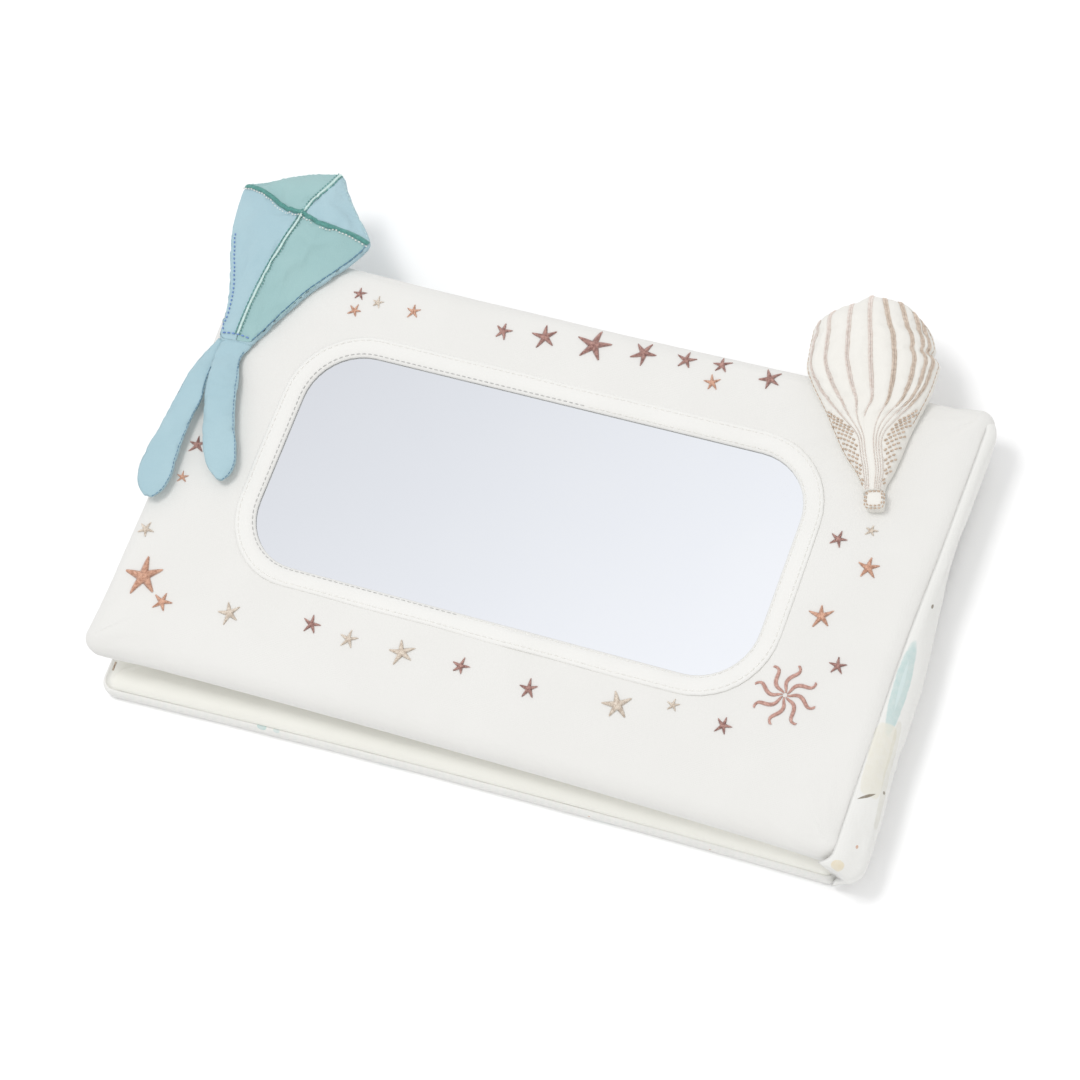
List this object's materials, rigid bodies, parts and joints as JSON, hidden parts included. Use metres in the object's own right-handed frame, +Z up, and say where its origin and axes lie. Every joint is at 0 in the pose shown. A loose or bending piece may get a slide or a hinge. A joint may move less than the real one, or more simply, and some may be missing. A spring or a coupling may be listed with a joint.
{
  "type": "folding baby mirror",
  "caption": "Padded fabric mirror for babies that opens like a book, with a framed mirror, embroidery and a stuffed kite and hot air balloon sewn to its far corners.",
  "frame": {"origin": "centre of the base panel's flat underside, on the surface it lies on", "axes": "+X along the panels towards the spine, +Y towards the side with the kite and the balloon, +Z up, out of the mirror"},
  "size_m": [0.311, 0.2123, 0.047],
  "materials": {
    "off_white_linen": "matte woven cloth",
    "printed_cotton": "matte printed cloth",
    "foam": "soft foam",
    "stiffening_board": "thin board",
    "acrylic_mirror": "acrylic mirror",
    "kite_green": "matte woven cloth",
    "kite_blue": "matte woven cloth",
    "satin_cord": "satin stitch",
    "stuffing": "fibre stuffing",
    "cream_cotton": "matte woven cloth",
    "tan_thread": "embroidery thread",
    "rose_thread": "embroidery thread",
    "copper_thread": "embroidery thread",
    "sand_thread": "embroidery thread"
  },
  "bodies": {
    "base": {"base_cover_outer": "printed_cotton", "base_cover_inner": "off_white_linen", "base_foam": "foam", "base_board": "stiffening_board"},
    "spine": {"spine_cover": "printed_cotton", "spine_lining": "off_white_linen", "spine_pad": "foam"},
    "mirror_panel": {"mirror_cover_front": "off_white_linen", "mirror_cover_back": "off_white_linen", "mirror_foam": "foam", "mirror_board": "stiffening_board", "mirror_sheet": "acrylic_mirror", "mirror_binding": "off_white_linen", "star_01": "copper_thread", "star_02": "rose_thread", "star_03": "rose_thread", "star_04": "rose_thread", "star_05": "rose_thread", "star_06": "rose_thread", "star_07": "rose_thread", "star_08": "rose_thread", "star_09": "rose_thread", "star_10": "sand_thread", "star_11": "copper_thread", "star_12": "copper_thread", "star_13": "sand_thread", "star_14": "rose_thread", "star_15": "sand_thread", "star_16": "sand_thread", "star_17": "rose_thread", "star_18": "rose_thread", "star_19": "sand_thread", "star_20": "rose_thread", "star_21": "rose_thread", "star_22": "copper_thread", "star_23": "copper_thread", "star_24": "rose_thread", "sun": "rose_thread"},
    "kite": {"kite_quarter_upper_left": "kite_green", "kite_quarter_upper_right": "kite_blue", "kite_quarter_lower_left": "kite_blue", "kite_quarter_lower_right": "kite_green", "kite_back": "kite_blue", "kite_filling": "stuffing", "kite_cross_cord": "satin_cord"},
    "kite_tail_left": {"kite_tail_left": "kite_blue"},
    "kite_tail_right": {"kite_tail_right": "kite_blue"},
    "balloon": {"balloon_front": "cream_cotton", "balloon_back": "cream_cotton", "balloon_filling": "stuffing", "balloon_basket": "tan_thread", "balloon_net_left": "tan_thread", "balloon_net_right": "tan_thread", "balloon_rib_1": "tan_thread", "balloon_rib_2": "tan_thread", "balloon_rib_3": "tan_thread", "balloon_rib_4": "tan_thread", "balloon_rib_5": "tan_thread", "balloon_rib_6": "tan_thread", "balloon_rib_7": "tan_thread"}
  },
  "joints": [
    {"name": "spine_fold", "type": "hinge", "parent": "base", "child": "spine", "pos_m": [0.1478, 0, 0.003], "axis": [0, 1, 0], "range_deg": [0, 78]},
    {"name": "mirror_fold", "type": "hinge", "parent": "spine", "child": "mirror_panel", "pos_m": [0.14989, 0.0023, 0.0272], "axis": [0.0175, 0.9998, 0], "range_deg": [0, 95]},
    {"name": "kite_lift", "type": "hinge", "parent": "mirror_panel", "child": "kite", "pos_m": [-0.13338, 0.05025, 0.04015], "axis": [0.9996, -0.0174, -0.0234], "range_deg": [0, 70]},
    {"name": "kite_tail_left_lift", "type": "hinge", "parent": "mirror_panel", "child": "kite_tail_left", "pos_m": [-0.13338, 0.05025, 0.04015], "axis": [-0.9996, 0.0174, 0.0234], "range_deg": [0, 60]},
    {"name": "kite_tail_right_lift", "type": "hinge", "parent": "mirror_panel", "child": "kite_tail_right", "pos_m": [-0.13338, 0.05025, 0.04015], "axis": [-0.9996, 0.0174, 0.0234], "range_deg": [0, 60]},
    {"name": "balloon_lift", "type": "hinge", "parent": "mirror_panel", "child": "balloon", "pos_m": [0.12491, 0.03994, 0.0341], "axis": [0.97, 0.2419, -0.0226], "range_deg": [0, 70]}
  ]
}
